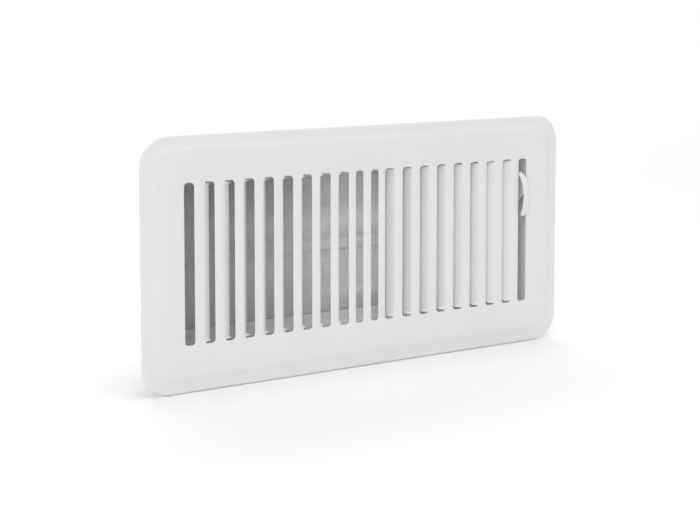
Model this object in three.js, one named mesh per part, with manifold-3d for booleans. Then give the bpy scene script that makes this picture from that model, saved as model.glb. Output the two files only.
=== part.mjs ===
// A louvred floor or wall register: a stamped steel face with bent louvres, a four-walled
// damper box behind it, and two parallel damper blades worked by a thumb lever in the end slot.
//
// Millimetres. X runs along the face to the right, Y runs back into the duct, Z is up.
// The origin is the centre of the plane that the rim rests on; the face stands proud of it.
import * as THREE from "three";
import { mergeVertices } from "three/addons/utils/BufferGeometryUtils.js";
import Module from "manifold-3d";

const wasm = await Module();
wasm.setup();

// ---------------------------------------------------------------- driving dimensions

const FACE = { width: 292.1, height: 139.7, corner: 16, sheet: 0.8, arcSteps: 8 };
const RIM = { height: 1.7, edgeRadius: 0.95, flat: 3.6, step: 4.8, rise: 0.95 };
const SLOT = { halfLength: 44, pitch: 12.7, width: 6.2, firstEdge: 12.85, endRadius: 2.0, perSide: 9 };
const CENTRE_SLOT = { from: 2.75, to: 8.0 }; // the two plain slots beside the middle bar
// The flaps' angles run from the middle of the face out, and each bends from inside its bar.
const FLAP = {
  anglesDeg: [62, 62, 53, 53, 46, 46, 31, 31],
  length: 7.0,
  arc: 2.0,
  setBack: 2.0,
  halfLength: 43,
};

const BOX = { halfLength: 122.7, halfHeight: 47.6, sheet: 0.7, back: 43.5, flange: 7.5, tab: 8 };
const GAP = 0.1; // between parts that touch in the real object

const PIVOT = { y: 25, z: 21.5 }; // the blades turn on axes at z and -z, the lever between them
const SWING_DEG = 75; // closed to open
const CRANK = 11; // from each axis to its link pin
const CRANK_ANGLE = -THREE.MathUtils.degToRad(SWING_DEG / 2); // behind the axis and down when closed

const BLADE = { halfLength: 115.2, sheet: 0.8, arcSteps: 8, sagitta: 3.0 };
// The blade's section from its axis, as [y, z]: top edge, upper crease and lower crease.
const BLADE_TOP = [-2.15, 16.9];
const BLADE_CREASE_UPPER = [-4.3, 3.6];
const BLADE_CREASE_LOWER = [-1.6, -19.3];
const BLADE_LIP_Y = -1.0;
const UPPER_LIP_Z = -28.0; // laps behind the lower blade's top edge
const LOWER_LIP_Z = -24.0; // stops short of the box's lower wall

// Angle strips on the long walls: how far the upright reaches in, and the depths of upright and foot.
const UPPER_STOP = { reach: 10.2, y: 23.8, footY: 33 };
const LOWER_STOP = { reach: 6.2, y: 21.9, footY: 13 };

const LEVER = { x: 117.6, sheet: 1.0, tabWidth: 3.7, hub: 6.0, armWidth: 7.0 };
const LINK = { x: 115.8, sheet: 1.0, width: 7.0 };
const PIN = { journal: 2.0, shoulder: 3.0, head: 3.2, headThick: 1.1, proud: 0.9 };
const LINK_PIN = { shank: 1.6, head: 2.6, headThick: 0.9, thinHead: 0.4, tail: 0.7 };
const HOLE_PLAY = 0.08; // radial, between a pin and its hole
const BUSH = { inner: 2.08, outer: 3.6, flange: 5.5, flangeThick: 1.2, proud: 0.6 };
const STACK_PLAY = 0.25; // radial, between the lever's rivet and its washer and spacer
const ROUND = 20; // sides of a small round part
const ARC_STEPS = 9; // sides of an arc in a plate's outline

// ---------------------------------------------------------------- materials

const steelPaint = new THREE.MeshStandardMaterial({ color: 0xe9ebed, roughness: 0.38, metalness: 0.0 });
const bladeSteel = new THREE.MeshStandardMaterial({ color: 0xc4c6c6, roughness: 0.42, metalness: 0.7 });
const zincSteel = new THREE.MeshStandardMaterial({ color: 0xb4b7ba, roughness: 0.4, metalness: 0.9 });
const springSteel = new THREE.MeshStandardMaterial({ color: 0x8c8f92, roughness: 0.35, metalness: 1.0 });
const nylon = new THREE.MeshStandardMaterial({ color: 0xf0ede2, roughness: 0.55, metalness: 0.0 });

// ---------------------------------------------------------------- solids and booleans

// A closed three.js geometry as a solid that can be joined and cut.
function solid(geometry) {
  const bare = (geometry.index ? geometry.toNonIndexed() : geometry).clone();
  for (const name of Object.keys(bare.attributes)) {
    if (name !== "position") bare.deleteAttribute(name);
  }
  const merged = mergeVertices(bare, 1e-4);
  return new wasm.Manifold(
    new wasm.Mesh({
      numProp: 3,
      vertProperties: merged.attributes.position.array,
      triVerts: new Uint32Array(merged.index.array),
    }),
  );
}

// A solid back as a flat-shaded three.js geometry.
function geometryOf(body) {
  const mesh = body.getMesh();
  const geometry = new THREE.BufferGeometry();
  geometry.setAttribute("position", new THREE.BufferAttribute(mesh.vertProperties, 3));
  geometry.setIndex(new THREE.BufferAttribute(mesh.triVerts, 1));
  const flat = geometry.toNonIndexed();
  flat.computeVertexNormals();
  return flat;
}

function union(...bodies) {
  return bodies.reduce((whole, next) => whole.add(next));
}

function box([x0, y0, z0], [x1, y1, z1]) {
  const geometry = new THREE.BoxGeometry(x1 - x0, y1 - y0, z1 - z0);
  geometry.translate((x0 + x1) / 2, (y0 + y1) / 2, (z0 + z1) / 2);
  return solid(geometry);
}

// A [y, z] outline, with round or other holes, made into a plate from x0 to x1.
function plateAcrossX(shape, x0, x1) {
  const options = { depth: x1 - x0, bevelEnabled: false, curveSegments: ARC_STEPS };
  const geometry = new THREE.ExtrudeGeometry(shape, options);
  geometry.applyMatrix4(new THREE.Matrix4().set(0, 0, 1, x0, 1, 0, 0, 0, 0, 1, 0, 0, 0, 0, 0, 1));
  return solid(geometry);
}

// A turned part on an axis along X through (y, z). The profile is [radius, x] from the axis back to it.
function turned(profile, y, z, sides = ROUND) {
  const points = profile.map(([radius, x]) => new THREE.Vector2(radius, x));
  const geometry = new THREE.LatheGeometry(points, sides);
  geometry.rotateZ(-Math.PI / 2);
  geometry.translate(0, y, z);
  return solid(geometry);
}

function roundHole(y, z, radius) {
  return new THREE.Path().absarc(y, z, radius, 0, 2 * Math.PI, true);
}

// A small round cutter along X.
function drill(y, z, radius, x0, x1) {
  return turned([[0, x0], [radius, x0], [radius, x1], [0, x1]], y, z);
}

const group = new THREE.Group();

function add(name, body, material) {
  const mesh = new THREE.Mesh(geometryOf(body), material);
  mesh.name = name;
  group.add(mesh);
}

// ---------------------------------------------------------------- face plate

// The points of a rounded rectangle in X and Z, drawn in from the outline by `inset`.
function outlineRing(inset, y) {
  const radius = FACE.corner - inset;
  const centreX = FACE.width / 2 - FACE.corner;
  const centreZ = FACE.height / 2 - FACE.corner;
  const ring = [];
  [[1, 1], [-1, 1], [-1, -1], [1, -1]].forEach(([sideX, sideZ], corner) => {
    for (let step = 0; step <= FACE.arcSteps; step += 1) {
      const angle = (corner + step / FACE.arcSteps) * (Math.PI / 2);
      ring.push([
        sideX * centreX + radius * Math.cos(angle),
        y,
        sideZ * centreZ + radius * Math.sin(angle),
      ]);
    }
  });
  return ring;
}

// A closed skin through rings of equal length, with a flat cap on the first and the last.
function lofted(rings) {
  const count = rings[0].length;
  const positions = [];
  const triangle = (a, b, c) => positions.push(...a, ...b, ...c);
  for (let ring = 0; ring + 1 < rings.length; ring += 1) {
    for (let i = 0; i < count; i += 1) {
      const next = (i + 1) % count;
      const [a, b] = [rings[ring][i], rings[ring][next]];
      const [c, d] = [rings[ring + 1][i], rings[ring + 1][next]];
      triangle(a, b, c);
      triangle(b, d, c);
    }
  }
  const cap = (ring, flip) => {
    for (let i = 1; i + 1 < count; i += 1) {
      if (flip) triangle(ring[0], ring[i + 1], ring[i]);
      else triangle(ring[0], ring[i], ring[i + 1]);
    }
  };
  cap(rings[0], true);
  cap(rings[rings.length - 1], false);
  const geometry = new THREE.BufferGeometry();
  geometry.setAttribute("position", new THREE.Float32BufferAttribute(positions, 3));
  return solid(geometry);
}

// The rim's section from the resting edge inwards, as [inset, y]; `offset` is the depth under the skin.
function rimSection(offset) {
  const section = [[offset, 0]];
  const edgeSteps = 3;
  const radius = RIM.edgeRadius - offset;
  for (let i = 0; i <= edgeSteps; i += 1) {
    const angle = (i / edgeSteps) * (Math.PI / 2);
    section.push([
      RIM.edgeRadius - radius * Math.cos(angle),
      -(RIM.height - RIM.edgeRadius) - radius * Math.sin(angle),
    ]);
  }
  const stepSteps = 4;
  for (let i = 0; i <= stepSteps; i += 1) {
    const t = i / stepSteps;
    const ease = t * t * (3 - 2 * t);
    section.push([
      RIM.edgeRadius + RIM.flat + t * RIM.step,
      -RIM.height + offset - RIM.rise * ease,
    ]);
  }
  return section;
}

const FACE_FRONT = -(RIM.height + RIM.rise);
const FACE_BACK = FACE_FRONT + FACE.sheet;

function slotCutter(x0, x1) {
  const shape = new THREE.Shape();
  const r = SLOT.endRadius;
  const z = SLOT.halfLength;
  shape.moveTo(x0 + r, -z);
  shape.lineTo(x1 - r, -z);
  shape.absarc(x1 - r, -z + r, r, -Math.PI / 2, 0, false);
  shape.lineTo(x1, z - r);
  shape.absarc(x1 - r, z - r, r, 0, Math.PI / 2, false);
  shape.lineTo(x0 + r, z);
  shape.absarc(x0 + r, z - r, r, Math.PI / 2, Math.PI, false);
  shape.lineTo(x0, -z + r);
  shape.absarc(x0 + r, -z + r, r, Math.PI, 1.5 * Math.PI, false);
  const depth = 4;
  const ahead = 1; // the cutter starts in front of the face
  const geometry = new THREE.ExtrudeGeometry(shape, { depth, bevelEnabled: false, curveSegments: 4 });
  geometry.rotateX(Math.PI / 2);
  geometry.translate(0, FACE_FRONT - ahead + depth, 0);
  return solid(geometry);
}

// One louvre flap: it leaves its bar outside the slot and curls back towards the middle of the face.
function louvreFlap(side, bendLine, angleDeg) {
  const angle = THREE.MathUtils.degToRad(angleDeg);
  const radius = FLAP.arc / angle;
  const arcSteps = 4;
  const root = 0.6; // how far the flap's stub is buried in the bar
  const skin = 0.05; // keeps the stub inside the bar's own faces
  const section = (offset, stubY) => {
    const points = [[bendLine + root, stubY]];
    for (let i = 0; i <= arcSteps; i += 1) {
      const turn = (angle * i) / arcSteps;
      points.push([
        bendLine - (radius - offset) * Math.sin(turn),
        FACE_FRONT + radius - (radius - offset) * Math.cos(turn),
      ]);
    }
    const [x, y] = points[points.length - 1];
    const straight = FLAP.length - FLAP.arc;
    points.push([x - straight * Math.cos(angle), y + straight * Math.sin(angle)]);
    return points;
  };
  const front = section(0, FACE_FRONT + skin);
  const back = section(FACE.sheet, FACE_BACK - skin);
  const outline = [...front, ...back.reverse()];
  const shape = new THREE.Shape(outline.map(([x, y]) => new THREE.Vector2(side * x, y)));
  const geometry = new THREE.ExtrudeGeometry(shape, { depth: 2 * FLAP.halfLength, bevelEnabled: false });
  geometry.translate(0, 0, -FLAP.halfLength);
  return solid(geometry);
}

function facePlate() {
  const outer = rimSection(0).map(([inset, y]) => outlineRing(inset, y));
  const inner = rimSection(FACE.sheet).map(([inset, y]) => outlineRing(inset, y));
  inner[0] = outlineRing(FACE.sheet, 1); // past the rim plane, so the back stays open
  let plate = lofted(outer).subtract(lofted(inner));
  for (const side of [-1, 1]) {
    const across = (a, b) => slotCutter(Math.min(side * a, side * b), Math.max(side * a, side * b));
    plate = plate.subtract(across(CENTRE_SLOT.from, CENTRE_SLOT.to));
    for (let k = 0; k < SLOT.perSide; k += 1) {
      const innerEdge = SLOT.firstEdge + k * SLOT.pitch;
      plate = plate.subtract(across(innerEdge, innerEdge + SLOT.width));
    }
    FLAP.anglesDeg.forEach((angleDeg, k) => {
      const slotEdge = SLOT.firstEdge + SLOT.width + k * SLOT.pitch;
      const bendLine = slotEdge + FLAP.setBack;
      const [x0, x1] = [side * (slotEdge - 1), side * bendLine];
      const half = FLAP.halfLength + GAP;
      const notch = box([Math.min(x0, x1), FACE_FRONT - 1, -half], [Math.max(x0, x1), FACE_BACK + 1, half]);
      plate = plate.subtract(notch).add(louvreFlap(side, bendLine, angleDeg));
    });
  }
  return plate;
}

add("face_plate", facePlate(), steelPaint);

// ---------------------------------------------------------------- damper box

const WALL_FRONT = FACE_BACK + GAP;
const FLANGE_BACK = WALL_FRONT + BOX.sheet;
const END_INNER = BOX.halfLength - BOX.sheet;
const LONG_INNER = BOX.halfHeight - BOX.sheet;
const END_TOP = LONG_INNER - GAP;

// The long walls carry a flange that is welded to the back of the face.
function longWall(side) {
  const [zInner, zOuter, zFlange] = [LONG_INNER, BOX.halfHeight, BOX.halfHeight + BOX.flange];
  const x = END_INNER;
  const across = (z0, z1, y0, y1) =>
    box([-x, y0, Math.min(side * z0, side * z1)], [x, y1, Math.max(side * z0, side * z1)]);
  return union(
    across(zInner, zOuter, WALL_FRONT, BOX.back),
    across(zInner, zFlange, WALL_FRONT, FLANGE_BACK),
  );
}

// The end walls carry a face flange, and a tab along each long wall.
function endWall(side) {
  const x = (a, b) => [Math.min(side * a, side * b), Math.max(side * a, side * b)];
  const [x0, x1] = x(END_INNER, BOX.halfLength);
  const [tab0, tab1] = x(END_INNER - BOX.tab, BOX.halfLength);
  const [flange0, flange1] = x(END_INNER, BOX.halfLength + BOX.flange);
  const tabFront = 6;
  const tabBack = BOX.back - 3;
  let wall = union(
    box([x0, WALL_FRONT, -END_TOP], [x1, BOX.back, END_TOP]),
    box([flange0, WALL_FRONT, -END_TOP], [flange1, FLANGE_BACK, END_TOP]),
    box([tab0, tabFront, END_TOP - BOX.sheet], [tab1, tabBack, END_TOP]),
    box([tab0, tabFront, -END_TOP], [tab1, tabBack, -END_TOP + BOX.sheet]),
  );
  for (const z of [-PIVOT.z, PIVOT.z]) {
    wall = wall.subtract(drill(PIVOT.y, z, BUSH.outer + HOLE_PLAY, x0 - 1, x1 + 1));
  }
  if (side > 0) wall = wall.subtract(drill(PIVOT.y, 0, PIN.journal + HOLE_PLAY, x0 - 1, x1 + 1));
  return wall;
}

add("box_upper_wall", longWall(1), steelPaint);
add("box_lower_wall", longWall(-1), steelPaint);
add("box_left_end_wall", endWall(-1), steelPaint);
add("box_right_end_wall", endWall(1), steelPaint);

// Angle strips that the closed blades rest on: behind the upper edge, and in front of the lower one.
function stopStrip(wallZ, { reach, y: uprightY, footY }) {
  const side = Math.sign(wallZ);
  const x = BLADE.halfLength - 4;
  const foot = wallZ - side * GAP;
  const sorted = (a, b) => [Math.min(a, b), Math.max(a, b)];
  const [y0, y1] = sorted(uprightY, footY);
  const [footZ0, footZ1] = sorted(foot, foot - side * BOX.sheet);
  const [upZ0, upZ1] = sorted(foot, foot - side * reach);
  return union(
    box([-x, y0, footZ0], [x, y1, footZ1]),
    box([-x, uprightY, upZ0], [x, uprightY + BOX.sheet, upZ1]),
  );
}

add("upper_blade_stop", stopStrip(LONG_INNER, UPPER_STOP), steelPaint);
add("lower_blade_stop", stopStrip(-LONG_INNER, LOWER_STOP), steelPaint);

// ---------------------------------------------------------------- damper blades

// The middle line of a blade's section, from the top edge to the end of its lip.
function bladeLine(lipZ) {
  const [y1, z1] = BLADE_CREASE_UPPER;
  const [y2, z2] = BLADE_CREASE_LOWER;
  const chord = Math.hypot(y2 - y1, z2 - z1);
  const normal = [(z2 - z1) / chord, -(y2 - y1) / chord]; // towards the face
  const line = [BLADE_TOP];
  for (let i = 0; i <= BLADE.arcSteps; i += 1) {
    const t = i / BLADE.arcSteps;
    const bulge = 4 * BLADE.sagitta * t * (1 - t);
    line.push([y1 + t * (y2 - y1) + normal[0] * bulge, z1 + t * (z2 - z1) + normal[1] * bulge]);
  }
  line.push([BLADE_LIP_Y, z2 - 2.0]);
  line.push([BLADE_LIP_Y, lipZ]);
  return line;
}

// A sheet of even thickness along a [y, z] line, as a closed outline.
function sheetOutline(line, thickness) {
  const side = (sign) =>
    line.map(([y, z], i) => {
      const [ya, za] = line[Math.max(i - 1, 0)];
      const [yb, zb] = line[Math.min(i + 1, line.length - 1)];
      const length = Math.hypot(yb - ya, zb - za);
      const half = (sign * thickness) / 2;
      return new THREE.Vector2(y - (half * (zb - za)) / length, z + (half * (yb - ya)) / length);
    });
  return new THREE.Shape([...side(1), ...side(-1).reverse()]);
}

const crankPoint = [CRANK * Math.cos(CRANK_ANGLE), CRANK * Math.sin(CRANK_ANGLE)];

// The ear bent back from a blade's end, round its axis and, on the right, round the link pin.
function ear(x0, x1, withCrank) {
  const shape = new THREE.Shape();
  const lobe = 4.2;
  const [cornerBack, cornerUp] = [0.5, 3]; // from the upper crease to the ear's top corner
  const hubTop = THREE.MathUtils.degToRad(80);
  const [crease, ...front] = bladeLine(LOWER_LIP_Z).slice(1, BLADE.arcSteps);
  shape.moveTo(crease[0] + cornerBack, crease[1] + cornerUp);
  for (const point of [crease, ...front]) shape.lineTo(...point);
  if (withCrank) {
    shape.absarc(...crankPoint, lobe, CRANK_ANGLE - Math.PI / 2, CRANK_ANGLE + Math.PI / 2, false);
    shape.absarc(0, 0, lobe, CRANK_ANGLE + Math.PI / 2, hubTop, false);
  } else {
    shape.absarc(0, 0, lobe, -Math.PI / 3, hubTop, false);
  }
  shape.closePath();
  shape.holes.push(roundHole(0, 0, PIN.journal + HOLE_PLAY));
  if (withCrank) shape.holes.push(roundHole(...crankPoint, LINK_PIN.shank + HOLE_PLAY));
  return plateAcrossX(shape, x0, x1);
}

function damperBlade(lipZ) {
  const x = BLADE.halfLength;
  const sheet = plateAcrossX(sheetOutline(bladeLine(lipZ), BLADE.sheet), -x, x);
  return union(sheet, ear(-x, -x + BLADE.sheet, false), ear(x - BLADE.sheet, x, true));
}

// The shouldered pin fixed in a blade's ear, running in the bush in the end wall.
function pivotPin(side) {
  const inner = BLADE.halfLength - BLADE.sheet - GAP;
  const outer = BLADE.halfLength + GAP;
  const bushFace = END_INNER - GAP - BUSH.flangeThick - GAP;
  const tail = BOX.halfLength + PIN.proud;
  const profile = [
    [0, inner - PIN.headThick], [PIN.head, inner - PIN.headThick], [PIN.head, inner], [PIN.journal, inner],
    [PIN.journal, outer], [PIN.shoulder, outer], [PIN.shoulder, bushFace],
    [PIN.journal, bushFace], [PIN.journal, tail], [0, tail],
  ];
  const pin = turned(profile, 0, 0);
  return side > 0 ? pin : pin.mirror([1, 0, 0]);
}

// The flanged nylon bush in an end wall.
function pivotBush(side) {
  const wallFace = END_INNER - GAP;
  const flangeFace = wallFace - BUSH.flangeThick;
  const tail = BOX.halfLength + BUSH.proud;
  const profile = [
    [BUSH.inner, flangeFace], [BUSH.flange, flangeFace], [BUSH.flange, wallFace], [BUSH.outer, wallFace],
    [BUSH.outer, tail], [BUSH.inner, tail], [BUSH.inner, flangeFace],
  ];
  const bush = turned(profile, 0, 0);
  return side > 0 ? bush : bush.mirror([1, 0, 0]);
}

// The rivet that joins a blade's ear to the link bar.
function earLinkPin() {
  const inner = BLADE.halfLength - BLADE.sheet - GAP;
  const outer = LINK.x + LINK.sheet + GAP;
  const head = inner - LINK_PIN.headThick;
  const tail = outer + LINK_PIN.tail;
  const profile = [
    [0, head], [LINK_PIN.head, head], [LINK_PIN.head, inner], [LINK_PIN.shank, inner],
    [LINK_PIN.shank, outer], [LINK_PIN.head, outer], [LINK_PIN.head, tail], [0, tail],
  ];
  return turned(profile, ...crankPoint);
}

function place(body, z) {
  return body.translate([0, PIVOT.y, z]);
}

for (const [name, z, lipZ] of [["upper", PIVOT.z, UPPER_LIP_Z], ["lower", -PIVOT.z, LOWER_LIP_Z]]) {
  add(`${name}_damper_blade`, place(damperBlade(lipZ), z), bladeSteel);
  add(`${name}_blade_left_pin`, place(pivotPin(-1), z), zincSteel);
  add(`${name}_blade_right_pin`, place(pivotPin(1), z), zincSteel);
  add(`${name}_blade_left_bush`, place(pivotBush(-1), z), nylon);
  add(`${name}_blade_right_bush`, place(pivotBush(1), z), nylon);
  add(`${name}_blade_link_pin`, place(earLinkPin(), z), zincSteel);
}

// ---------------------------------------------------------------- lever, link and their pins

function linkBar() {
  const half = LINK.width / 2;
  const top = PIVOT.z;
  const shape = new THREE.Shape();
  shape.absarc(0, top, half, 0, Math.PI, false);
  shape.absarc(0, -top, half, Math.PI, 2 * Math.PI, false);
  shape.closePath();
  for (const z of [-top, 0, top]) shape.holes.push(roundHole(0, z, LINK_PIN.shank + HOLE_PLAY));
  return plateAcrossX(shape, LINK.x, LINK.x + LINK.sheet).translate([0, ...crankPoint]);
}

// The thumb tab's line from its root in the slot to its free end, as [y, z] from the lever's axis.
const TAB_LINE = [
  [-25.2, 35.4], [-28.6, 32.8], [-30.8, 28.4], [-31.9, 23.6], [-32.0, 18.8], [-31.2, 14.0], [-28.9, 9.2],
];

function damperLever() {
  const x0 = LEVER.x;
  const x1 = LEVER.x + LEVER.sheet;
  const [rootY, rootZ] = TAB_LINE[0];
  const armAngle = Math.atan2(rootZ, rootY);
  const half = LEVER.armWidth / 2;
  const arm = new THREE.Shape();
  const innerCorner = THREE.MathUtils.degToRad(42);
  const [bendY, bendZ] = TAB_LINE[2];
  const neck = [rootY + 3.4, rootZ - 1.2]; // where the arm meets the tab's root from behind
  const heel = [bendY + 2.2, bendZ - 4.5]; // where the arm leaves the tab
  arm.absarc(0, 0, LEVER.hub, armAngle + Math.PI / 2, CRANK_ANGLE + 1.5 * Math.PI, false);
  arm.absarc(...crankPoint, half, CRANK_ANGLE - Math.PI / 2, CRANK_ANGLE + Math.PI / 2, false);
  arm.lineTo(LEVER.hub * Math.cos(innerCorner), LEVER.hub * Math.sin(innerCorner));
  arm.lineTo(...neck);
  arm.lineTo(rootY, rootZ);
  arm.lineTo(...TAB_LINE[1]);
  arm.lineTo(bendY, bendZ);
  arm.lineTo(...heel);
  arm.closePath();
  arm.holes.push(roundHole(0, 0, PIN.journal + HOLE_PLAY));
  arm.holes.push(roundHole(...crankPoint, LINK_PIN.shank + HOLE_PLAY));
  const tab = sheetOutline(TAB_LINE, LEVER.sheet);
  return union(
    plateAcrossX(arm, x0, x1),
    plateAcrossX(tab, x1 - LEVER.tabWidth, x1),
  );
}

// The lever's own rivet, its dished spring washer, and the spacer that stands it off the end wall.
function leverRivet() {
  const head = LEVER.x - 2.1;
  const headEdge = head + 0.5;
  const headBack = head + 1.2;
  const headRadius = 4.0;
  const wallFace = BOX.halfLength + GAP;
  const tail = BOX.halfLength + 1.0;
  const profile = [
    [0, head], [PIN.head, head], [headRadius, headEdge], [headRadius, headBack],
    [PIN.journal, headBack], [PIN.journal, wallFace], [PIN.head, wallFace], [PIN.head, tail], [0, tail],
  ];
  return turned(profile, 0, 0);
}

function springWasher() {
  const inner = PIN.journal + STACK_PLAY;
  const outer = 4.8;
  const [small, large, thick] = [LEVER.x - 0.8, LEVER.x - 0.5, 0.35];
  const profile = [
    [inner, small], [outer, large], [outer, large + thick], [inner, small + thick], [inner, small],
  ];
  return turned(profile, 0, 0);
}

function leverSpacer() {
  const inner = PIN.journal + STACK_PLAY;
  const outer = 4.2;
  const x0 = LEVER.x + LEVER.sheet + GAP;
  const x1 = END_INNER - GAP;
  return turned([[inner, x0], [outer, x0], [outer, x1], [inner, x1], [inner, x0]], 0, 0);
}

function leverLinkPin() {
  const linkIn = LINK.x - GAP;
  const linkOut = LINK.x + LINK.sheet + GAP;
  const leverIn = LEVER.x - GAP;
  const leverOut = LEVER.x + LEVER.sheet + GAP;
  const head = linkIn - LINK_PIN.thinHead; // passes close to the blade's sheet as it turns
  const tail = leverOut + LINK_PIN.tail;
  const r = LINK_PIN.shank;
  const profile = [
    [0, head], [LINK_PIN.head, head], [LINK_PIN.head, linkIn], [r, linkIn], [r, linkOut],
    [LINK_PIN.head, linkOut], [LINK_PIN.head, leverIn], [r, leverIn], [r, leverOut],
    [LINK_PIN.head, leverOut], [LINK_PIN.head, tail], [0, tail],
  ];
  return turned(profile, ...crankPoint);
}

add("link_bar", place(linkBar(), 0), zincSteel);
add("damper_lever", place(damperLever(), 0), steelPaint);
add("lever_rivet", place(leverRivet(), 0), zincSteel);
add("lever_spring_washer", place(springWasher(), 0), springSteel);
add("lever_spacer", place(leverSpacer(), 0), zincSteel);
add("lever_link_pin", place(leverLinkPin(), 0), zincSteel);

export default group;
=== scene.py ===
"""The looks of a louvred air register: pressed face, damper box, blades and thumb lever."""

import math

import bmesh
import bpy
import numpy as np
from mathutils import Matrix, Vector
from mathutils.geometry import delaunay_2d_cdt


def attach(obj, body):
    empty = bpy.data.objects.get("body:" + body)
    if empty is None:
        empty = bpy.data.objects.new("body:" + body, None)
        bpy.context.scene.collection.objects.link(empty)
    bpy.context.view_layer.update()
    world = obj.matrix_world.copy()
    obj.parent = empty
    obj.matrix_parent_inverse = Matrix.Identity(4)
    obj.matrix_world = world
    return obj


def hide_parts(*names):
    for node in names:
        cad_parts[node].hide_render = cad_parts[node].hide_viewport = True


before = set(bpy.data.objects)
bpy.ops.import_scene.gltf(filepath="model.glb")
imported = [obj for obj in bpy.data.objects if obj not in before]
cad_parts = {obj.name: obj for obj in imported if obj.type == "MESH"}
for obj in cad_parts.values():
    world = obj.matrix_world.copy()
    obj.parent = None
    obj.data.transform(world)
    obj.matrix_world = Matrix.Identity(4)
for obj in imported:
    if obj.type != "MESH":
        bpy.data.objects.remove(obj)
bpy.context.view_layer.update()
MM = 0.001

# ---------------------------------------------------------------- dimensions, in millimetres

FACE_W, FACE_H, FACE_R, SHEET = 292.1, 139.7, 16.0, 0.8
RIM_HEIGHT, RIM_EDGE, RIM_FLAT, RIM_STEP, RIM_RISE = 1.7, 0.95, 3.6, 4.8, 0.95
FRONT = -(RIM_HEIGHT + RIM_RISE)
SLOT_HALF, SLOT_PITCH, SLOT_W, SLOT_FIRST, SLOT_R, SLOTS = 44.0, 12.7, 6.2, 12.85, 2.0, 9
CENTRE_SLOT = (2.75, 8.0)
FLAP_ANGLES = (62, 62, 53, 53, 46, 46, 31, 31)  # from the middle of the face out, in degrees
FLAP_LENGTH, FLAP_ARC, FLAP_BACK, FLAP_HALF = 7.0, 2.0, 2.0, 43.0
# The radius of a flap's free corners, and the stretch at its ends over which the bend builds up.
FLAP_CORNER, FLAP_EASE = 1.2, 1.0
ROLL, ROLL_DEPTH = 0.55, 0.35  # the radius of a slot's rolled edge, and the most it falls back

BOX_L, BOX_H, BOX_T, BOX_BACK, FLANGE = 122.7, 47.6, 0.7, 43.5, 7.5
GAP = 0.1  # between parts that touch in the real object
WALL_FRONT = FRONT + SHEET + GAP
END_INNER = BOX_L - BOX_T
LONG_MID = BOX_H - BOX_T / 2
END_TOP = BOX_H - BOX_T - GAP
SHEET_BEND = 0.9  # the bend radius of the box's sheet
# Each blade's stop: side, depth of the upright's middle, depth of the foot's edge, reach inwards.
STOPS = {"upper": (1, 24.15, 33.0, 10.2), "lower": (-1, 22.25, 13.0, 6.2)}

PIVOT_Y, PIVOT_Z = 25.0, 21.5
CRANK, CRANK_ANGLE = 11.0, math.radians(-37.5)
CRANK_Y, CRANK_Z = CRANK * math.cos(CRANK_ANGLE), CRANK * math.sin(CRANK_ANGLE)
BLADE_HALF, BLADE_T, BLADE_SAGITTA = 115.2, 0.8, 3.0
# The blade's section from its axis, as (y, z).
BLADE_TOP, BLADE_LIP_Y = (-2.15, 16.9), -1.0
BLADE_CREASE_UPPER, BLADE_CREASE_LOWER = (-4.3, 3.6), (-1.6, -19.3)
UPPER_LIP_Z, LOWER_LIP_Z = -28.0, -24.0
EAR_LOBE = 4.2

LEVER_X, LEVER_T, TAB_W, HUB = 117.6, 1.0, 3.7, 6.0
LINK_X, LINK_T, LINK_W = 115.8, 1.0, 7.0
# The thumb tab's line from its root behind the slot to its free end, as (y, z) from the lever's axis.
TAB = [(-25.2, 35.4), (-28.6, 32.8), (-30.8, 28.4), (-31.8, 23.6), (-31.8, 18.8), (-31.1, 14.0),
       (-28.9, 9.2)]

PIN_R, PIN_SHOULDER, PIN_HEAD, SHANK, LINK_HEAD = 2.0, 3.0, 3.2, 1.6, 2.6
PIN_HOLE, SHANK_HOLE, BUSH_HOLE = 2.08, 1.68, 3.68
BUSH_R, BUSH_FLANGE, BUSH_THICK = 3.6, 5.5, 1.2
STACK_R = 2.25  # the holes of the lever's washer and spacer

# ---------------------------------------------------------------- mesh helpers


def new_piece(name, verts, faces, material, body, *nodes, smooth=35, bevel=0.0, segments=2):
    """A mesh in millimetres becomes a piece that rides on a body and stands for CAD nodes."""
    mesh = bpy.data.meshes.new(name)
    mesh.from_pydata([[c * MM for c in v] for v in verts], [], [list(f) for f in faces])
    bm = bmesh.new()
    bm.from_mesh(mesh)
    bmesh.ops.remove_doubles(bm, verts=bm.verts, dist=2e-6)
    bmesh.ops.recalc_face_normals(bm, faces=bm.faces)
    bm.to_mesh(mesh)
    bm.free()
    piece = bpy.data.objects.new(name, mesh)
    bpy.context.scene.collection.objects.link(piece)
    mesh.materials.append(material)
    finish_surface(piece, smooth, bevel, segments)
    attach(piece, body)
    if nodes:
        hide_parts(*nodes)
    return piece


def finish_surface(piece, smooth, bevel, segments):
    """Rounds the sharp edges a little and shades the rest smooth."""
    mesh = piece.data
    if bevel:
        cut = piece.modifiers.new("edge", "BEVEL")
        cut.width = bevel * MM
        cut.segments = segments
        cut.limit_method = "ANGLE"
        cut.angle_limit = math.radians(50)
    mesh.shade_smooth()
    mesh.set_sharp_from_angle(angle=math.radians(smooth))


def grid_faces(rows, columns, closed=False):
    """Quads over rows of points, each with the same number of columns."""
    faces = []
    across = columns if closed else columns - 1
    for r in range(rows - 1):
        for c in range(across):
            d = (c + 1) % columns
            faces.append((r * columns + c, r * columns + d, (r + 1) * columns + d, (r + 1) * columns + c))
    return faces


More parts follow.
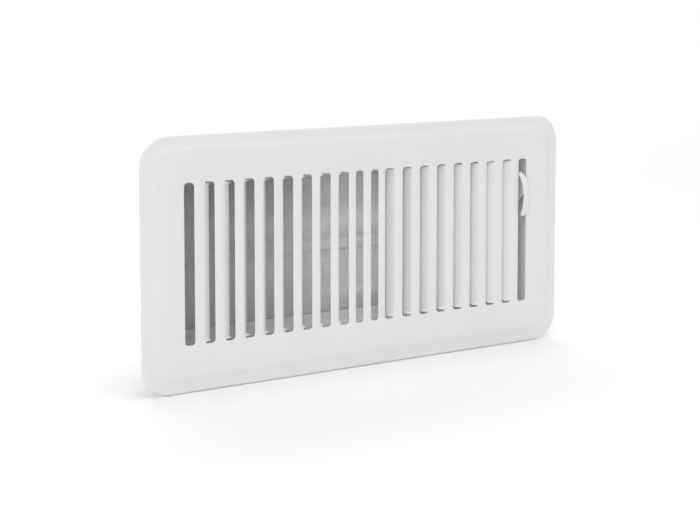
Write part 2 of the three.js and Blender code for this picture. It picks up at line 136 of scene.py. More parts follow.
def rounded_path(points, radius, steps=6):
    """An open line of (a, b) points with its inner corners rounded."""
    radii = radius if isinstance(radius, (list, tuple)) else [radius] * len(points)
    out = [points[0]]
    for i in range(1, len(points) - 1):
        p, before, after = (np.array(points[j], float) for j in (i, i - 1, i + 1))
        u, v = before - p, after - p
        lu, lv = np.linalg.norm(u), np.linalg.norm(v)
        u, v = u / lu, v / lv
        angle = math.acos(max(-1.0, min(1.0, float(u @ v))))
        if radii[i] <= 0 or angle > math.radians(179):
            out.append(tuple(p))
            continue
        cut = min(radii[i] / math.tan(angle / 2), lu * 0.48, lv * 0.48)
        for s in range(steps + 1):
            t = s / steps
            q = (1 - t) ** 2 * (p + u * cut) + 2 * t * (1 - t) * p + t * t * (p + v * cut)
            out.append(tuple(q))
    out.append(points[-1])
    return out


def sheet_section(path, thickness):
    """The closed outline of a sheet of even thickness along a line."""
    line = np.array(path, float)
    tangent = np.gradient(line, axis=0)
    tangent /= np.linalg.norm(tangent, axis=1)[:, None]
    normal = np.stack([-tangent[:, 1], tangent[:, 0]], axis=1) * thickness / 2
    return np.vstack([line + normal, (line - normal)[::-1]])


def swept(section, stations, place):
    """A closed section carried through stations; place(a, b, s) gives the point."""
    rows = len(stations)
    n = len(section)
    verts = [place(a, b, s) for s in stations for a, b in section]
    faces = grid_faces(rows, n, closed=True)
    half = n // 2
    for base in (0, (rows - 1) * n):
        for i in range(half - 1):
            faces.append((base + i, base + i + 1, base + n - 2 - i, base + n - 1 - i))
    return verts, faces


def merged(*parts):
    """Several (verts, faces) as one."""
    verts, faces = [], []
    for v, f in parts:
        base = len(verts)
        verts += list(v)
        faces += [tuple(i + base for i in face) for face in f]
    return verts, faces


def lathe(profile, y, z, steps=48):
    """A closed or axis-to-axis profile of (radius, x) turned about X through (y, z)."""
    verts, faces = [], []
    ring_of = []
    for radius, x in profile:
        if radius < 1e-6:
            ring_of.append([len(verts)])
            verts.append((x, y, z))
            continue
        ring_of.append(list(range(len(verts), len(verts) + steps)))
        for s in range(steps):
            a = 2 * math.pi * s / steps
            verts.append((x, y + radius * math.cos(a), z + radius * math.sin(a)))
    for first, second in zip(ring_of, ring_of[1:]):
        for s in range(steps):
            t = (s + 1) % steps
            quad = [first[s % len(first)], first[t % len(first)]]
            quad += [second[t % len(second)], second[s % len(second)]]
            face = list(dict.fromkeys(quad))
            if len(face) > 2:
                faces.append(tuple(face))
    return verts, faces


def plate(outline, holes, x0, x1):
    """A flat plate across X from a (y, z) outline with round holes given as (y, z, radius)."""
    loops, sides = [[tuple(p) for p in outline]], 40
    for cy, cz, radius in holes:
        ring = [2 * math.pi * i / sides for i in range(sides)]
        loops.append([(cy + radius * math.cos(a), cz + radius * math.sin(a)) for a in ring])
    points, edges = [], []
    for loop in loops:
        base = len(points)
        points += [Vector(p) for p in loop]
        edges += [(base + i, base + (i + 1) % len(loop)) for i in range(len(loop))]
    flat, _, triangles, *_ = delaunay_2d_cdt(points, edges, [], 0, 1e-5)
    inside = []
    for tri in triangles:
        c = sum((flat[i] for i in tri), Vector((0, 0))) / len(tri)
        if within(c, loops[0]) and not any(within(c, loop) for loop in loops[1:]):
            inside.append(tuple(tri))
    n = len(flat)
    verts = [(x0, p.x, p.y) for p in flat] + [(x1, p.x, p.y) for p in flat]
    faces = inside + [tuple(i + n for i in reversed(tri)) for tri in inside]
    used = {}
    for tri in inside:
        for i in range(len(tri)):
            a, b = tri[i], tri[(i + 1) % len(tri)]
            used[(a, b)] = used.get((a, b), 0) + 1
    for a, b in used:
        if (b, a) not in used:
            faces.append((b, a, a + n, b + n))
    return verts, faces


def within(point, loop):
    """True if the point is inside the closed loop."""
    x, y = point
    hit = False
    for (x0, y0), (x1, y1) in zip(loop, loop[1:] + loop[:1]):
        if (y0 > y) != (y1 > y) and x < (x1 - x0) * (y - y0) / (y1 - y0) + x0:
            hit = not hit
    return hit


def arc(cy, cz, radius, start, end, steps=14):
    """Points on a circle from one angle to another, in degrees."""
    out = []
    for i in range(steps + 1):
        a = math.radians(start + (end - start) * i / steps)
        out.append((cy + radius * math.cos(a), cz + radius * math.sin(a)))
    return out


# ---------------------------------------------------------------- materials


def material(name, colour, roughness, metallic=0.0):
    """A principled material and its tools: (material, nodes, links, shader, object coordinates)."""
    mat = bpy.data.materials.new(name)
    mat.use_nodes = True
    nodes, links = mat.node_tree.nodes, mat.node_tree.links
    shader = nodes["Principled BSDF"]
    shader.inputs["Base Color"].default_value = (*colour, 1)
    shader.inputs["Roughness"].default_value = roughness
    shader.inputs["Metallic"].default_value = metallic
    coords = nodes.new("ShaderNodeTexCoord").outputs["Object"]
    return mat, nodes, links, shader, coords


def noise(nodes, links, coords, scale, detail=3.0, stretch=(1, 1, 1)):
    """A noise value over the object's own coordinates, in repeats per metre."""
    mapping = nodes.new("ShaderNodeMapping")
    mapping.inputs["Scale"].default_value = stretch
    links.new(coords, mapping.inputs["Vector"])
    tex = nodes.new("ShaderNodeTexNoise")
    tex.inputs["Scale"].default_value = scale
    tex.inputs["Detail"].default_value = detail
    links.new(mapping.outputs[0], tex.inputs["Vector"])
    return tex.outputs["Fac"]


def ranged(nodes, links, value, low, high):
    """Maps 0.3 to 0.7 of a noise on to low to high."""
    node = nodes.new("ShaderNodeMapRange")
    node.inputs["From Min"].default_value = 0.3
    node.inputs["From Max"].default_value = 0.7
    node.inputs["To Min"].default_value = low
    node.inputs["To Max"].default_value = high
    links.new(value, node.inputs["Value"])
    return node.outputs[0]


def tinted(nodes, links, value, dark, light, shader):
    """Varies the base colour between two colours."""
    ramp = nodes.new("ShaderNodeValToRGB")
    ramp.color_ramp.elements[0].position = 0.3
    ramp.color_ramp.elements[0].color = (*dark, 1)
    ramp.color_ramp.elements[1].position = 0.7
    ramp.color_ramp.elements[1].color = (*light, 1)
    links.new(value, ramp.inputs["Fac"])
    links.new(ramp.outputs["Color"], shader.inputs["Base Color"])


def bumped(nodes, links, height, strength, distance, shader):
    """Raises the surface by a height, with the distance in metres."""
    bump = nodes.new("ShaderNodeBump")
    bump.inputs["Strength"].default_value = strength
    bump.inputs["Distance"].default_value = distance
    links.new(height, bump.inputs["Height"])
    links.new(bump.outputs["Normal"], shader.inputs["Normal"])


def enamel(name, light, dark, roughness):
    """White powder coat: fine orange peel and a faint unevenness in gloss."""
    mat, nodes, links, shader, coords = material(name, light, roughness)
    tinted(nodes, links, noise(nodes, links, coords, 28, 3), dark, light, shader)
    gloss = ranged(nodes, links, noise(nodes, links, coords, 90, 4), roughness - 0.04, roughness + 0.06)
    links.new(gloss, shader.inputs["Roughness"])
    bumped(nodes, links, noise(nodes, links, coords, 900, 2), 0.22, 0.00005, shader)
    shader.inputs["Specular IOR Level"].default_value = 0.5
    return mat


def galvanised(name, light, dark, roughness, grain):
    """Zinc-coated sheet: soft crystal patches with their own tone and gloss, and rolling lines."""
    mat, nodes, links, shader, coords = material(name, light, roughness, 0.35)
    cells = nodes.new("ShaderNodeTexVoronoi")
    cells.inputs["Scale"].default_value = grain
    links.new(coords, cells.inputs["Vector"])
    split = nodes.new("ShaderNodeSeparateColor")
    links.new(cells.outputs["Color"], split.inputs["Color"])
    streak = noise(nodes, links, coords, 120, 4, (0.04, 1, 1))
    blend = nodes.new("ShaderNodeMix")
    blend.inputs[0].default_value = 0.8
    links.new(split.outputs[0], blend.inputs[2])
    links.new(streak, blend.inputs[3])
    tinted(nodes, links, blend.outputs[0], dark, light, shader)
    links.new(ranged(nodes, links, blend.outputs[0], roughness - 0.07, roughness + 0.09),
              shader.inputs["Roughness"])
    bumped(nodes, links, noise(nodes, links, coords, 500, 3, (0.1, 1, 1)), 0.12, 0.00003, shader)
    return mat


def plated(name, light, dark, roughness):
    """Plated small metal: a fine grain and slight handling marks."""
    mat, nodes, links, shader, coords = material(name, light, roughness, 0.95)
    tinted(nodes, links, noise(nodes, links, coords, 240, 4), dark, light, shader)
    gloss = ranged(nodes, links, noise(nodes, links, coords, 700, 3), roughness - 0.08, roughness + 0.08)
    links.new(gloss, shader.inputs["Roughness"])
    bumped(nodes, links, noise(nodes, links, coords, 2500, 2), 0.15, 0.00002, shader)
    return mat


def moulded(name, light, dark, roughness):
    """Moulded nylon: waxy, with a very fine grain."""
    mat, nodes, links, shader, coords = material(name, light, roughness)
    tinted(nodes, links, noise(nodes, links, coords, 150, 2), dark, light, shader)
    shader.inputs["Subsurface Weight"].default_value = 0.08
    shader.inputs["Subsurface Radius"].default_value = (0.001, 0.001, 0.0008)
    bumped(nodes, links, noise(nodes, links, coords, 3000, 2), 0.1, 0.00002, shader)
    return mat


WHITE = enamel("white_enamel", (0.83, 0.84, 0.845), (0.815, 0.825, 0.83), 0.36)
GALV = galvanised("galvanised_sheet", (0.80, 0.80, 0.795), (0.70, 0.70, 0.695), 0.42, 260)
ZINC = plated("zinc_plated_steel", (0.68, 0.69, 0.70), (0.58, 0.59, 0.60), 0.34)
SPRING = plated("spring_steel", (0.45, 0.46, 0.47), (0.36, 0.37, 0.38), 0.30)
NYLON = moulded("white_nylon", (0.82, 0.80, 0.73), (0.79, 0.77, 0.70), 0.5)

# ---------------------------------------------------------------- face plate


def ring(inset, steps=12):
    """A rounded rectangle drawn in from the face's outline."""
    radius = FACE_R - inset
    cx, cz = FACE_W / 2 - FACE_R, FACE_H / 2 - FACE_R
    out = []
    for corner, (sx, sz) in enumerate(((1, 1), (-1, 1), (-1, -1), (1, -1))):
        for i in range(steps + 1):
            a = math.pi / 2 * (corner + i / steps)
            out.append((sx * cx + radius * math.cos(a), sz * cz + radius * math.sin(a)))
    return out


def corner_radii(side):
    """The radii of a slot's left and right corners: tighter where a flap is bent out."""
    flap = SLOT_HALF - FLAP_HALF
    return (flap if side < 0 else SLOT_R), (flap if side > 0 else SLOT_R)


def slot_outline(x0, x1, side=0):
    """A slot's outline in (x, z), anticlockwise; with a side, it steps back to the flap's bend line."""
    corner, columns = 6, 9
    left_r, right_r = corner_radii(side)
    left_reach, right_reach = SLOT_HALF - left_r, SLOT_HALF - right_r
    left_rows, right_rows = slot_rows(left_reach), slot_rows(right_reach)
    step = [FLAP_BACK * i / columns for i in range(1, columns + 1)]
    right = [(x1, z) for z in right_rows]
    left = [(x0, z) for z in reversed(left_rows)]
    if side > 0:
        right = [(x1 + d, -right_reach) for d in step] + [(x1 + FLAP_BACK, z) for z in right_rows[1:-1]]
        right += [(x1 + d, right_reach) for d in reversed(step)]
    if side < 0:
        left = [(x0 - d, left_reach) for d in step]
        left += [(x0 - FLAP_BACK, z) for z in reversed(left_rows[1:-1])]
        left += [(x0 - d, -left_reach) for d in reversed(step)]
    out = right + corner_arc(x1 - right_r, right_reach, right_r, 0, corner)
    out += corner_arc(x0 + left_r, left_reach, left_r, 90, corner) + left
    out += corner_arc(x0 + left_r, -left_reach, left_r, 180, corner)
    out += corner_arc(x1 - right_r, -right_reach, right_r, 270, corner)
    clean = []
    for p in out:
        if not clean or math.dist(p, clean[-1]) > 1e-4:
            clean.append(p)
    if math.dist(clean[0], clean[-1]) < 1e-4:
        clean.pop()
    return clean


def corner_arc(cx, cz, radius, start, steps, trim=0):
    """A quarter circle of points from an angle in degrees, left short by a trim at both ends."""
    return [(cx + radius * math.cos(a), cz + radius * math.sin(a))
            for a in angles(start + trim, start + 90 - trim, steps)]


def roll_points(x0, x1, side):
    """Points round a slot that shape its rolled edge, left out along a flap's bend."""
    corner, trim = 6, 10
    left_r, right_r = corner_radii(side)
    out = []
    for grow in (0.12, 0.3, ROLL):
        for cx, radius, top, bottom in ((x1 - right_r, right_r, 0, 270), (x0 + left_r, left_r, 90, 180)):
            reach = SLOT_HALF - radius
            out += corner_arc(cx, reach, radius + grow, top, corner, trim)
            out += corner_arc(cx, -reach, radius + grow, bottom, corner, trim)
        if side <= 0:
            out += [(x1 + grow, z) for z in slot_rows(SLOT_HALF - SLOT_R)]
        if side >= 0:
            out += [(x0 - grow, z) for z in slot_rows(SLOT_HALF - SLOT_R)]
    return out


def angles(start, end, steps):
    """Evenly spaced angles in radians, from limits in degrees."""
    return [math.radians(start + (end - start) * i / steps) for i in range(steps + 1)]


def slot_rows(reach):
    """Heights of the rows down a slot's straight sides, closer near the ends."""
    inner = reach - 4.5
    count, end_count = 20, 9
    middle = [-inner + 2 * inner * i / count for i in range(count + 1)]
    ends = [inner + (reach - inner) * i / end_count for i in range(1, end_count + 1)]
    return [-z for z in reversed(ends)] + middle + ends


def face_slots():
    """Each slot as (x0, x1, side of its flap's root or 0, the flap's angle)."""
    slots = []
    for side in (-1, 1):
        a, b = sorted((side * CENTRE_SLOT[0], side * CENTRE_SLOT[1]))
        slots.append((a, b, 0, 0))
        for k in range(SLOTS):
            inner = SLOT_FIRST + k * SLOT_PITCH
            a, b = sorted((side * inner, side * (inner + SLOT_W)))
            flap = k < len(FLAP_ANGLES)
            slots.append((a, b, side if flap else 0, FLAP_ANGLES[k] if flap else 0))
    return sorted(slots)


def flap_line(angle, length):
    """A flap's front line from its bend line, as (reach, depth)."""
    out = []
    steps = 9
    for i in range(1, steps + 1):
        s = length * i / steps
        curved, rest = min(s, FLAP_ARC), max(0.0, s - FLAP_ARC)
        a, b = curved, 0.0
        if angle > 1e-4:
            radius = FLAP_ARC / angle
            a, b = radius * math.sin(curved / radius), radius * (1 - math.cos(curved / radius))
        out.append((a + rest * math.cos(angle), b + rest * math.sin(angle)))
    return out


def build_face():
    """The pressed front skin as one surface: panel, bars with rolled edges, rim and flaps."""
    slots = face_slots()
    panel_inset = RIM_EDGE + RIM_FLAT + RIM_STEP
    outer = ring(panel_inset)
    points, edges = [Vector(p) for p in outer], []
    edges += [(i, (i + 1) % len(outer)) for i in range(len(outer))]
    outlines = []
    for x0, x1, side, _ in slots:
        loop = slot_outline(x0, x1, side)
        outlines.append(loop)
        base = len(points)
        points += [Vector(p) for p in loop]
        edges += [(base + i, base + (i + 1) % len(loop)) for i in range(len(loop))]
        points += [Vector(p) for p in roll_points(x0, x1, side)]
    for left, right in zip(slots, slots[1:]):
        low = left[1] + (FLAP_BACK if left[2] > 0 else ROLL)
        high = right[0] - (FLAP_BACK if right[2] < 0 else ROLL)
        for z in slot_rows(SLOT_HALF - SLOT_R):
            points += [Vector((low + (high - low) * t, z)) for t in (0.3, 0.6, 0.85)]
    flat, _, triangles, *_ = delaunay_2d_cdt(points, edges, [], 0, 1e-6)
    boxes = [(x0 - FLAP_BACK, x1 + FLAP_BACK, loop) for (x0, x1, _, _), loop in zip(slots, outlines)]
    faces = []
    for tri in triangles:
        c = sum((flat[i] for i in tri), Vector((0, 0))) / len(tri)
        in_slot = any(x0 < c.x < x1 and within(c, loop) for x0, x1, loop in boxes)
        if not in_slot and within(c, outer):
            faces.append(tuple(tri))
    verts = [(p.x, FRONT + panel_depth(p, slots), p.y) for p in flat]

    parts = [(verts, faces), build_rim()]
    for x0, x1, side, angle_deg in slots:
        if side:
            bend_line = x1 + FLAP_BACK if side > 0 else x0 - FLAP_BACK
            parts.append(flap_grid(bend_line, side, angle_deg))
    return merged(*parts)


def build_rim():
    """The rim from its resting edge in to the raised panel."""
    rings = []
    section = [(0.0, 0.0), (0.0, -(RIM_HEIGHT - RIM_EDGE) / 2)]
    for a in angles(0, 90, 6):
        depth = -(RIM_HEIGHT - RIM_EDGE) - RIM_EDGE * math.sin(a)
        section.append((RIM_EDGE - RIM_EDGE * math.cos(a), depth))
    section.append((RIM_EDGE + RIM_FLAT * 0.5, -RIM_HEIGHT))
    steps = 12
    for i in range(steps + 1):
        t = i / steps
        ease = t * t * (3 - 2 * t)
        section.append((RIM_EDGE + RIM_FLAT + t * RIM_STEP, -RIM_HEIGHT - RIM_RISE * ease))
    for inset, y in section:
        rings += [(x, y, z) for x, z in ring(inset)]
    return rings, grid_faces(len(section), len(ring(0)), closed=True)


def panel_depth(p, slots):
    """How far the panel lies behind its front plane, where a slot's edge is rolled."""
    depth, near, fade = 0.0, 4, 1.2
    for x0, x1, side, _ in slots:
        if not (x0 - near < p.x < x1 + near) or abs(p.y) > SLOT_HALF + near:
            continue
        left_r, right_r = corner_radii(side)
        radius = right_r if p.x > (x0 + x1) / 2 else left_r
        dx = max(x0 + left_r - p.x, 0.0, p.x - (x1 - right_r))
        dz = max(abs(p.y) - (SLOT_HALF - radius), 0.0)
        away = math.hypot(dx, dz) - radius if dz > 0 else max(x0 - p.x, p.x - x1)
        roll = max(0.0, ROLL - max(away, 0.0))
        drop = ROLL - math.sqrt(max(ROLL * ROLL - roll * roll, 0.0))
        root_side = side and ((p.x - (x0 + x1) / 2) * side > 0)
        if root_side:
            along = (abs(p.y) - FLAP_HALF) / fade
            drop *= min(max(along, 0.0), 1.0)
        depth = max(depth, min(drop, ROLL_DEPTH))
    return depth


def flap_grid(bend_x, side, angle_deg):
    """One curled louvre flap: its corners are rounded and its bend fades out at its own two ends."""
    verts, columns = [], 10
    rows = slot_rows(FLAP_HALF)
    for z in rows:
        near = FLAP_HALF - abs(z)
        ease = min(near / FLAP_EASE, 1.0)
        ease = ease * ease * (3 - 2 * ease)
        short = max(0.0, 1 - near / FLAP_CORNER)
        length = FLAP_BACK + (FLAP_LENGTH - FLAP_BACK) * math.sqrt(max(1 - short * short, 0.0))
        verts.append((bend_x, FRONT, z))
        for reach, depth in flap_line(math.radians(angle_deg) * ease, length):
            verts.append((bend_x - side * reach, FRONT + depth, z))
    return verts, grid_faces(len(rows), columns)


face_verts, face_faces = build_face()
face = new_piece("pressed_face", face_verts, face_faces, WHITE, "register_frame", "face_plate", smooth=60)


def outward(piece):
    """Turns the open skin so that its normals look out of the wall, and thickens it backwards."""
    mesh = piece.data
    total = sum(poly.normal.y * poly.area for poly in mesh.polygons)
    if total > 0:
        mesh.flip_normals()
    solid = piece.modifiers.new("sheet", "SOLIDIFY")
    solid.thickness = SHEET * MM
    solid.offset = -1
    solid.use_even_offset = True
    solid.use_rim = True
    edge = piece.modifiers.new("edge", "BEVEL")
    edge.width = 0.14 * MM
    edge.segments = 2
    edge.limit_method = "ANGLE"
    edge.angle_limit = math.radians(65)


outward(face)

# ---------------------------------------------------------------- damper box


def box_walls():
    """The long walls with their flanges, and the end walls with a flange and two tabs each."""
    face_y = WALL_FRONT + BOX_T / 2
    for side, name in ((1, "upper"), (-1, "lower")):
        corners = [(face_y, BOX_H + FLANGE), (face_y, LONG_MID), (BOX_BACK, LONG_MID)]
        path = rounded_path(corners, SHEET_BEND)
        section = sheet_section(path, BOX_T)
        verts, faces = swept(section, [-END_INNER, END_INNER], lambda a, b, s: (s, a, side * b))
        wall = new_piece(f"{name}_wall", verts, faces, WHITE, "register_frame", f"box_{name}_wall",
                         bevel=0.12)
    for side, name in ((1, "right"), (-1, "left")):
        mid = END_INNER + BOX_T / 2
        bend = rounded_path([(face_y, BOX_L + FLANGE), (face_y, mid), (BOX_BACK, mid)], SHEET_BEND)
        flat_y = 1.2
        flange = [p for p in bend if p[0] < flat_y] + [(flat_y, mid)]
        section = sheet_section(flange, BOX_T)
        lip = swept(section, [-END_TOP, END_TOP], lambda a, b, s: (side * b, a, s))
        holes = [(PIVOT_Y, PIVOT_Z, BUSH_HOLE), (PIVOT_Y, -PIVOT_Z, BUSH_HOLE)]
        if side > 0:
            holes.append((PIVOT_Y, 0, PIN_HOLE))
        outline = [(flat_y, -END_TOP), (BOX_BACK, -END_TOP), (BOX_BACK, END_TOP), (flat_y, END_TOP)]
        x0, x1 = sorted((side * END_INNER, side * BOX_L))
        parts = [lip, plate(outline, holes, x0, x1)]
        for up in (1, -1):
            tab_z = END_TOP - BOX_T / 2
            tab = rounded_path([(END_INNER - 8, tab_z), (mid, tab_z), (mid, tab_z - 2)], 0.7)
            tab_section = sheet_section(tab, BOX_T)
            parts.append(swept(tab_section, [6.0, BOX_BACK - 3.0], lambda a, b, s: (side * a, s, up * b)))
        verts, faces = merged(*parts)
        wall = new_piece(f"{name}_end_wall", verts, faces, WHITE, "register_frame", f"box_{name}_end_wall",
                         bevel=0.1)


def blade_stops():
    """The angle strips that stop the closing blades, each a small gap clear of its blade."""
    inner = END_TOP - BOX_T / 2
    x = BLADE_HALF - 4
    for name, (side, upright_y, foot_y, reach) in STOPS.items():
        tip = END_TOP - reach
        path = rounded_path([(upright_y, tip), (upright_y, inner), (foot_y, inner)], 0.8)
        verts, faces = swept(sheet_section(path, BOX_T), [-x, x], lambda a, b, s: (s, a, side * b))
        stop = new_piece(f"{name}_stop", verts, faces, WHITE, "register_frame", f"{name}_blade_stop",
                         bevel=0.1)


box_walls()
blade_stops()

# ---------------------------------------------------------------- blades


def blade_path(lip_z):
    """The blade's section from its axis: top edge, crease, soft curve, crease, lip."""
    (y1, z1), (y2, z2) = BLADE_CREASE_UPPER, BLADE_CREASE_LOWER
    chord = math.hypot(y2 - y1, z2 - z1)
    normal = ((z2 - z1) / chord, -(y2 - y1) / chord)
    points = [BLADE_TOP]
    steps = 16
    for i in range(steps + 1):
        t = i / steps
        bulge = 4 * BLADE_SAGITTA * t * (1 - t)
        points.append((y1 + t * (y2 - y1) + normal[0] * bulge, z1 + t * (z2 - z1) + normal[1] * bulge))
    points += [(BLADE_LIP_Y, z2 - 2.0), (BLADE_LIP_Y, lip_z)]
    return points


def ear(x0, x1, crank):
    """The ear at a blade's end, round its axis and, with a crank, round the link pin."""
    top, bottom = 6.6, -14
    line = [p for p in blade_path(LOWER_LIP_Z)[1:] if p[1] > bottom]
    outline = [(line[0][0] + 0.5, top)] + line
    if crank:
        outline += arc(CRANK_Y, CRANK_Z, EAR_LOBE, -127.5, 52.5)
        outline += arc(0, 0, EAR_LOBE, 52.5, 80, 6)
    else:
        outline += arc(0, 0, EAR_LOBE, -60, 80)
    holes = [(0, 0, PIN_HOLE)]
    if crank:
        holes.append((CRANK_Y, CRANK_Z, SHANK_HOLE))
    return plate(outline, holes, x0, x1)


def placed(part, z):
    """A part drawn round its own axis, moved to the axis at a height."""
    verts, faces = part
    return [(x, y + PIVOT_Y, c + z) for x, y, c in verts], faces


def blades():
    """The two blades: a curved sheet with an ear at each end."""
    for name, z, lip_z in (("upper", PIVOT_Z, UPPER_LIP_Z), ("lower", -PIVOT_Z, LOWER_LIP_Z)):
        path = rounded_path(blade_path(lip_z), [0, 1.6] + [0] * 15 + [1.0, 1.0, 0], 4)
        stations = np.linspace(-BLADE_HALF, BLADE_HALF, 13)
        sheet = swept(sheet_section(path, BLADE_T), list(stations), lambda a, b, s: (s, a, b))
        inner = BLADE_HALF - BLADE_T
        body = merged(sheet, ear(-BLADE_HALF, -inner, False), ear(inner, BLADE_HALF, True))
        verts, faces = placed(body, z)
        blade = new_piece(f"{name}_blade_sheet", verts, faces, GALV, f"{name}_blade", f"{name}_damper_blade",
                          bevel=0.1, smooth=40)


blades()

# ---------------------------------------------------------------- lever, link, pins


def smooth_line(points, per=6):
    """A smooth line through every point."""
    p = [np.array(q, float) for q in points]
    p = [2 * p[0] - p[1]] + p + [2 * p[-1] - p[-2]]
    out = []
    for i in range(1, len(p) - 2):
        for s in range(per):
            t = s / per
            a, b, c, d = p[i - 1], p[i], p[i + 1], p[i + 2]
            out.append(tuple(0.5 * (2 * b + (c - a) * t + (2 * a - 5 * b + 4 * c - d) * t ** 2
                                    + (3 * b - a - 3 * c + d) * t ** 3)))
    out.append(tuple(p[-2]))
    return out


def lever():
    """The thumb lever: a flat arm on the lever's rivet, with a curved tab that stands out of the slot."""
    arm_angle = math.degrees(math.atan2(TAB[0][1], TAB[0][0]))
    corner = math.radians(42)
    neck = (TAB[0][0] + 3.4, TAB[0][1] - 1.2)
    heel = (TAB[2][0] + 2.2, TAB[2][1] - 4.5)
    outline = arc(0, 0, HUB, arm_angle + 90, 232.5, 8)
    outline += arc(CRANK_Y, CRANK_Z, 3.5, -127.5, 52.5)
    outline += [(HUB * math.cos(corner), HUB * math.sin(corner)), neck, TAB[0], TAB[1], TAB[2], heel]
    x1 = LEVER_X + LEVER_T
    arm = plate(outline, [(0, 0, PIN_HOLE), (CRANK_Y, CRANK_Z, SHANK_HOLE)], LEVER_X, x1)
    tab = swept(sheet_section(smooth_line(TAB), LEVER_T), [x1 - TAB_W, x1], lambda a, b, s: (s, a, b))
    verts, faces = placed(merged(arm, tab), 0)
    piece = new_piece("thumb_lever", verts, faces, WHITE, "lever", "damper_lever", bevel=0.22, segments=3)


def link():
    """The bar that joins the lever to both blades."""
    half = LINK_W / 2
    outline = arc(0, PIVOT_Z, half, 0, 180) + arc(0, -PIVOT_Z, half, 180, 360)
    holes = [(0, z, SHANK_HOLE) for z in (-PIVOT_Z, 0, PIVOT_Z)]
    verts, faces = plate(outline, holes, LINK_X, LINK_X + LINK_T)
    verts = [(x, y + PIVOT_Y + CRANK_Y, z + CRANK_Z) for x, y, z in verts]
    piece = new_piece("link_strip", verts, faces, ZINC, "link", "link_bar", bevel=0.15)


def small_turned(name, profile, place, finish, body, node, mirror=False):
    """A small turned part at (y, z) from the lever's axis, its sharp rims eased."""
    mat, slot = finish
    y, z = place
    soft = rounded_path(profile, 0.22, 3)
    verts, faces = lathe(soft, PIVOT_Y + y, z)
    if mirror:
        verts = [(-a, b, c) for a, b, c in verts]
    piece = new_piece(name, verts, faces, mat, body, node, smooth=35)


ZINC_FINISH = (ZINC, "zinc_plated_steel")
NYLON_FINISH = (NYLON, "white_nylon")
SPRING_FINISH = (SPRING, "spring_steel")


def blade_pins():
    """Each blade's two pivot pins, their bushes, and the pin that joins the blade to the link."""
    inner, outer = BLADE_HALF - BLADE_T - GAP, BLADE_HALF + GAP
    wall = END_INNER - GAP
    bush_face = wall - BUSH_THICK - GAP
    pin_end, bush_end = BOX_L + 0.9, BOX_L + 0.6
    pin = [(0, inner - 1.1), (2.2, inner - 1.05), (PIN_HEAD, inner - 0.45), (PIN_HEAD, inner),
           (PIN_R, inner), (PIN_R, outer), (PIN_SHOULDER, outer), (PIN_SHOULDER, bush_face),
           (PIN_R, bush_face), (PIN_R, pin_end), (0, pin_end)]
    bush = [(PIN_HOLE, wall - BUSH_THICK), (BUSH_FLANGE, wall - BUSH_THICK), (BUSH_FLANGE, wall),
            (BUSH_R, wall), (BUSH_R, bush_end), (PIN_HOLE, bush_end), (PIN_HOLE, wall - BUSH_THICK)]
    far = LINK_X + LINK_T + GAP
    link_pin = [(0, inner - 0.9), (1.8, inner - 0.85), (LINK_HEAD, inner - 0.35), (LINK_HEAD, inner),
                (SHANK, inner), (SHANK, far), (LINK_HEAD, far), (LINK_HEAD, far + 0.35), (1.8, far + 0.68),
                (0, far + 0.7)]
    for name, z in (("upper", PIVOT_Z), ("lower", -PIVOT_Z)):
        body = f"{name}_blade"
        for end, mirror in (("left", True), ("right", False)):
            small_turned(f"{name}_{end}_pivot", pin, (0, z), ZINC_FINISH, body,
                         f"{name}_blade_{end}_pin", mirror)
            small_turned(f"{name}_{end}_bush", bush, (0, z), NYLON_FINISH, "register_frame",
                         f"{name}_blade_{end}_bush", mirror)
        small_turned(f"{name}_crank_pin", link_pin, (CRANK_Y, z + CRANK_Z), ZINC_FINISH, body,
                     f"{name}_blade_link_pin")


def lever_pins():
    """The lever's rivet, dished washer and spacer, and the pin that joins the lever to the link."""
    axis = (0, 0)
    head = LEVER_X - 2.1
    head_r, head_back, wall = 4.0, head + 1.2, BOX_L + GAP
    rivet = [(0, head), (PIN_HEAD, head), (head_r, head + 0.5), (head_r, head_back), (PIN_R, head_back),
             (PIN_R, wall), (PIN_HEAD, wall), (PIN_HEAD, BOX_L + 0.6), (2.2, BOX_L + 0.98), (0, BOX_L + 1.0)]
    small_turned("lever_pivot_rivet", rivet, axis, ZINC_FINISH, "register_frame", "lever_rivet")
    washer_r, thick = 4.8, 0.35
    small, large = LEVER_X - 0.8, LEVER_X - 0.5
    washer = [(STACK_R, small), (washer_r, large), (washer_r, large + thick), (STACK_R, small + thick),
              (STACK_R, small)]
    small_turned("dished_washer", washer, axis, SPRING_FINISH, "register_frame", "lever_spring_washer")
    near, far, spacer_r = LEVER_X + LEVER_T + GAP, END_INNER - GAP, 4.2
    spacer = [(STACK_R, near), (spacer_r, near), (spacer_r, far), (STACK_R, far), (STACK_R, near)]
    small_turned("lever_stand_off", spacer, axis, ZINC_FINISH, "register_frame", "lever_spacer")
    link_in, link_out = LINK_X - GAP, LINK_X + LINK_T + GAP
    lever_in, lever_out = LEVER_X - GAP, LEVER_X + LEVER_T + GAP
    crank = [(0, link_in - 0.4), (2.2, link_in - 0.38), (LINK_HEAD, link_in - 0.2), (LINK_HEAD, link_in),
             (SHANK, link_in), (SHANK, link_out), (LINK_HEAD, link_out), (LINK_HEAD, lever_in),
             (SHANK, lever_in), (SHANK, lever_out), (LINK_HEAD, lever_out), (LINK_HEAD, lever_out + 0.4),
             (1.8, lever_out + 0.68), (0, lever_out + 0.7)]
    small_turned("lever_crank_pin", crank, (CRANK_Y, CRANK_Z), ZINC_FINISH, "lever", "lever_link_pin")


lever()
link()
blade_pins()
lever_pins()

# ---------------------------------------------------------------- floor, light and camera


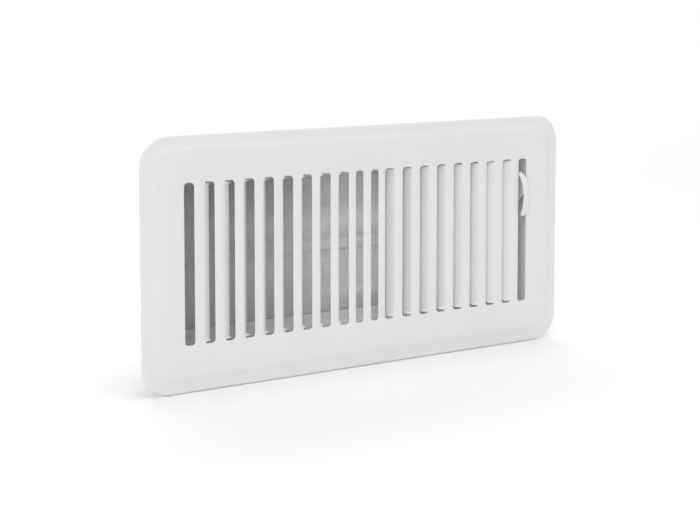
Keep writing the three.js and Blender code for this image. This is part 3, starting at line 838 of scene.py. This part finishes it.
def floor():
    """A plain pale floor under the standing register."""
    size, z = 4.2, -FACE_H / 2 * MM - 0.0002
    mesh = bpy.data.meshes.new("floor")
    corners = [(-size, -size, z), (size, -size, z), (size, size, z), (-size, size, z)]
    mesh.from_pydata(corners, [], [(0, 1, 2, 3)])
    ground = bpy.data.objects.new("floor", mesh)
    bpy.context.scene.collection.objects.link(ground)
    mat, nodes, links, shader, coords = material("pale_floor", (0.9, 0.9, 0.9), 0.7)
    dark, light = (0.895, 0.895, 0.895), (0.905, 0.905, 0.905)
    tinted(nodes, links, noise(nodes, links, coords, 3, 2), dark, light, shader)
    mesh.materials.append(mat)


def softbox(name, place, aim, width, height, power):
    """A rectangular studio light."""
    data = bpy.data.lights.new(name, "AREA")
    data.shape = "RECTANGLE"
    data.size, data.size_y, data.energy = width, height, power
    lamp = bpy.data.objects.new(name, data)
    lamp.location = place
    lamp.rotation_mode = "QUATERNION"
    lamp.rotation_quaternion = (Vector(aim) - Vector(place)).to_track_quat("-Z", "Y")
    bpy.context.scene.collection.objects.link(lamp)


def studio():
    """A white room, a soft light from the upper left, one overhead and one on the floor behind."""
    world = bpy.data.worlds.new("studio")
    bpy.context.scene.world = world
    world.use_nodes = True
    nodes, links = world.node_tree.nodes, world.node_tree.links
    room = nodes["Background"]
    room.inputs["Color"].default_value = (1, 1, 1, 1)
    room.inputs["Strength"].default_value = 0.52
    seen = nodes.new("ShaderNodeBackground")
    seen.inputs["Color"].default_value = (1, 1, 1, 1)
    seen.inputs["Strength"].default_value = 1.0
    choice = nodes.new("ShaderNodeMixShader")
    links.new(nodes.new("ShaderNodeLightPath").outputs["Is Camera Ray"], choice.inputs[0])
    links.new(room.outputs[0], choice.inputs[1])
    links.new(seen.outputs[0], choice.inputs[2])
    links.new(choice.outputs[0], nodes["World Output"].inputs["Surface"])
    softbox("key", (-1.3, -1.3, 1.1), (0, 0, 0), 1.0, 1.0, 9)
    softbox("overhead", (0, -0.2, 1.8), (0, 0, 0), 1.6, 1.6, 18)
    softbox("floor_wash", (2.0, 3.6, 2.4), (2.0, 4.0, 0), 5.0, 4.0, 120)


def camera():
    """The camera in front of the register, to its left and a little above it."""
    data = bpy.data.cameras.new("camera")
    data.sensor_width = 36
    data.lens = 88.04
    data.shift_y = -0.15
    cam = bpy.data.objects.new("camera", data)
    yaw, pitch = math.radians(35.489), math.radians(5.445)
    ahead = Vector((math.sin(yaw) * math.cos(pitch), math.cos(yaw) * math.cos(pitch), -math.sin(pitch)))
    cam.location = (-0.5742, -0.7906, 0.1441)
    cam.rotation_mode = "QUATERNION"
    cam.rotation_quaternion = ahead.to_track_quat("-Z", "Y")
    data.clip_start = 0.01
    bpy.context.scene.collection.objects.link(cam)
    bpy.context.scene.camera = cam


floor()
studio()
camera()
bpy.context.scene.view_settings.view_transform = "Standard"
